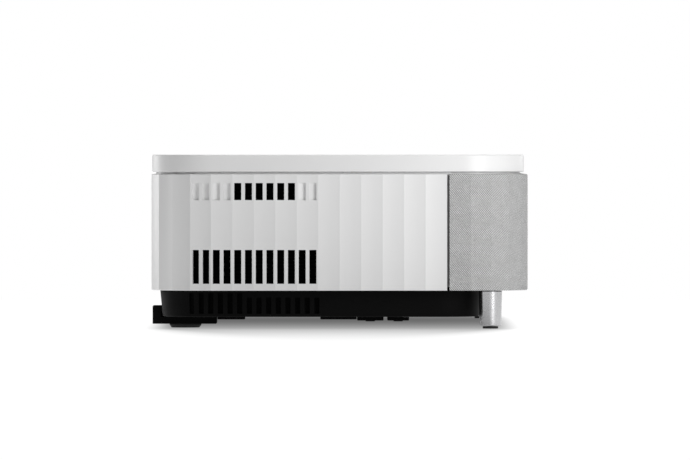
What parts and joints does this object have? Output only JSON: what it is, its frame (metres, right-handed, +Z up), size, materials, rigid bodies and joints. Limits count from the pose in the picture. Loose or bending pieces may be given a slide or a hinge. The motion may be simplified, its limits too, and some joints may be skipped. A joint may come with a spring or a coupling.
{
  "type": "home projector",
  "caption": "Low white ultra-short-throw home projector with a fluted case, a cloth-covered front, a lid over a sliding lens shutter, black base and screw feet.",
  "frame": {"origin": "on the floor under the middle of the body", "axes": "+X to the right seen from the front, +Y to the rear sockets, +Z up; the cloth front faces -Y"},
  "size_m": [0.695, 0.341, 0.157],
  "materials": {
    "white_plastic": "satin moulded",
    "black_plastic": "fine matte",
    "light_cloth": "woven",
    "black_rubber": "matte",
    "satin_metal": "satin",
    "cast_metal": "as cast",
    "dark_glass": "polished",
    "mirror_glass": "polished",
    "circuit_board": "lacquered",
    "brass": "cut",
    "phosphor": "coated",
    "filter_foam": "pleated"
  },
  "bodies": {
    "chassis": {"outer_shell": "white_plastic", "top_lid": "white_plastic", "base_pan": "black_plastic", "front_baffle": "black_plastic", "lens_well": "black_plastic", "lens_barrel": "black_plastic", "exhaust_fan_rear_frame": "black_plastic", "exhaust_fan_front_frame": "black_plastic", "intake_fan_frame": "black_plastic", "left_speaker_cone": "black_plastic", "right_speaker_cone": "black_plastic", "woofer_cone": "black_plastic", "port_tray": "black_plastic", "ac_inlet": "black_plastic", "rear_left_foot_bracket": "black_plastic", "rear_right_foot_bracket": "black_plastic", "top_frame": "white_plastic", "rear_left_foot_pad": "black_rubber", "rear_right_foot_pad": "black_rubber", "shutter_motor": "satin_metal", "focus_motor": "satin_metal", "laser_heat_sink": "satin_metal", "video_port_1": "satin_metal", "video_port_2": "satin_metal", "data_port": "satin_metal", "audio_port": "satin_metal", "optics_block": "cast_metal", "laser_housing": "cast_metal", "left_speaker_basket": "cast_metal", "right_speaker_basket": "cast_metal", "woofer_basket": "cast_metal", "projection_window": "dark_glass", "front_lens": "dark_glass", "prism_cube": "dark_glass", "projection_mirror": "mirror_glass", "main_board": "circuit_board", "power_supply": "circuit_board", "lcd_panel_red": "circuit_board", "lcd_panel_green": "circuit_board", "lcd_panel_blue": "circuit_board"},
    "front_cover": {"front_grille": "black_plastic", "grille_cloth": "light_cloth"},
    "shutter": {"shutter_panel": "white_plastic", "shutter_rack": "black_plastic"},
    "shutter_gear": {"shutter_pinion": "brass"},
    "focus_gear_ring": {"focus_ring": "black_plastic"},
    "focus_drive_gear": {"focus_pinion": "brass"},
    "focus_group": {"focus_cell": "cast_metal", "focus_lens": "dark_glass"},
    "colour_wheel": {"phosphor_wheel": "phosphor"},
    "rear_exhaust_rotor": {"exhaust_fan_rear_rotor": "black_plastic"},
    "front_exhaust_rotor": {"exhaust_fan_front_rotor": "black_plastic"},
    "intake_rotor": {"intake_fan_rotor": "black_plastic"},
    "service_door": {"filter_door": "white_plastic", "air_filter": "filter_foam"},
    "power_key": {"power_button": "white_plastic"},
    "left_foot_pad": {"front_left_pad": "black_rubber"},
    "left_foot_screw": {"front_left_leg": "satin_metal"},
    "right_foot_pad": {"front_right_pad": "black_rubber"},
    "right_foot_screw": {"front_right_leg": "satin_metal"}
  },
  "joints": [
    {"name": "front_cover_pull", "type": "slide", "parent": "chassis", "child": "front_cover", "axis": [0, -1, 0], "range_m": [0, 0.09]},
    {"name": "shutter_slide", "type": "slide", "parent": "chassis", "child": "shutter", "axis": [0, 1, 0], "range_m": [0, 0.124]},
    {"name": "shutter_gear_turn", "type": "hinge", "parent": "chassis", "child": "shutter_gear", "pos_m": [0.1095, -0.02025, 0.13589], "axis": [1, 0, 0], "range_deg": [-640, 5]},
    {"name": "focus_ring_turn", "type": "hinge", "parent": "chassis", "child": "focus_gear_ring", "pos_m": [0, 0.0885, 0.072], "axis": [0, 1, 0], "range_deg": [-15, 15]},
    {"name": "focus_gear_turn", "type": "hinge", "parent": "chassis", "child": "focus_drive_gear", "pos_m": [-0.04315, 0.0885, 0.072], "axis": [0, 1, 0], "range_deg": [-80, 80]},
    {"name": "focus_travel", "type": "slide", "parent": "chassis", "child": "focus_group", "axis": [0, 1, 0], "range_m": [-0.0016, 0.0016]},
    {"name": "colour_wheel_spin", "type": "hinge", "parent": "chassis", "child": "colour_wheel", "pos_m": [-0.096, 0.101, 0.072], "axis": [1, 0, 0], "continuous": true},
    {"name": "rear_exhaust_rotor_spin", "type": "hinge", "parent": "chassis", "child": "rear_exhaust_rotor", "pos_m": [-0.3275, 0.096, 0.0678], "axis": [1, 0, 0], "continuous": true},
    {"name": "front_exhaust_rotor_spin", "type": "hinge", "parent": "chassis", "child": "front_exhaust_rotor", "pos_m": [-0.3275, 0.033, 0.0678], "axis": [1, 0, 0], "continuous": true},
    {"name": "intake_rotor_spin", "type": "hinge", "parent": "chassis", "child": "intake_rotor", "pos_m": [0.3182, 0.06753, 0.0778], "axis": [1, 0, 0], "continuous": true},
    {"name": "filter_door_swing", "type": "hinge", "parent": "chassis", "child": "service_door", "pos_m": [0.346, 0.06753, 0.044], "axis": [0, 1, 0], "range_deg": [0, 90]},
    {"name": "power_button_press", "type": "slide", "parent": "chassis", "child": "power_key", "axis": [-1, 0, 0], "range_m": [0, 0.0012], "stiffness_N_per_m": 600},
    {"name": "left_foot_height", "type": "slide", "parent": "chassis", "child": "left_foot_pad", "axis": [0, 0, -1], "range_m": [0, 0.012]},
    {"name": "left_foot_turn", "type": "hinge", "parent": "left_foot_pad", "child": "left_foot_screw", "pos_m": [-0.3145, -0.1363, 0.02], "axis": [0, 0, -1], "range_deg": [0, 1445]},
    {"name": "right_foot_height", "type": "slide", "parent": "chassis", "child": "right_foot_pad", "axis": [0, 0, -1], "range_m": [0, 0.012]},
    {"name": "right_foot_turn", "type": "hinge", "parent": "right_foot_pad", "child": "right_foot_screw", "pos_m": [0.3145, -0.1363, 0.02], "axis": [0, 0, -1], "range_deg": [0, 1445]}
  ],
  "couplings": [
    {"joint": "shutter_gear_turn", "follows": "shutter_slide", "rad_per_m": -88.889},
    {"joint": "focus_gear_turn", "follows": "focus_ring_turn", "ratio": -5.1429},
    {"joint": "focus_travel", "follows": "focus_ring_turn", "m_per_rad": 0.00573},
    {"joint": "left_foot_turn", "follows": "left_foot_height", "rad_per_m": 2094.4},
    {"joint": "right_foot_turn", "follows": "right_foot_height", "rad_per_m": 2094.4}
  ]
}
